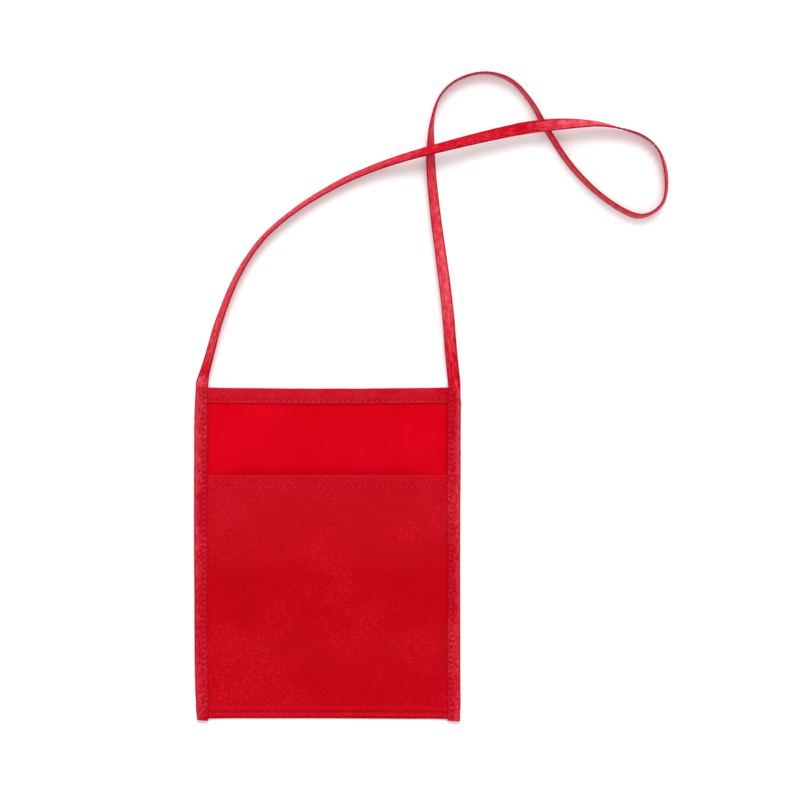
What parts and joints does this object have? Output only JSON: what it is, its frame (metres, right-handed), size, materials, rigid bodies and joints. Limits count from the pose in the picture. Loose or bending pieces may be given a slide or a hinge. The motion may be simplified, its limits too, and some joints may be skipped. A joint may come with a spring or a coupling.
{
  "type": "neck pouch badge holder",
  "caption": "Flat cloth neck pouch for a badge or tickets: an open-mouthed front pocket, a hemmed back, and side bindings of folded tape that go on as the neck strap.",
  "frame": {"origin": "on the surface that the pouch lies on, under the middle of the pouch without its strap", "axes": "+Z out of the pocket's front, +Y from the bottom fold to the top hem, +X to the right seen from the front"},
  "size_m": [0.2845, 0.3889, 0.0123],
  "materials": {
    "cloth": "matte non-woven cloth with a fine bonded grain",
    "tape": "matte folded non-woven tape",
    "thread": "spun polyester thread"
  },
  "bodies": {
    "pouch": {"back_panel": "cloth", "top_hem": "cloth", "bottom_fold": "cloth", "left_front_margin": "cloth", "right_front_margin": "cloth", "left_binding": "tape", "right_binding": "tape", "left_binding_stitching": "thread", "right_binding_stitching": "thread", "top_hem_stitching": "thread"},
    "pocket_front": {"front_panel": "cloth", "pocket_hem": "cloth", "pocket_hem_stitching": "thread"},
    "neck_strap": {"neck_strap": "tape"}
  },
  "joints": [
    {"name": "pocket_mouth_open", "type": "hinge", "parent": "pouch", "child": "pocket_front", "pos_m": [0, -0.0945, 0.00105], "axis": [1, 0, 0], "range_deg": [0, 8]},
    {"name": "neck_strap_swing", "type": "hinge", "parent": "pouch", "child": "neck_strap", "pos_m": [0, 0.1028, 0.00145], "axis": [1, 0, 0], "range_deg": [0, 120]}
  ]
}
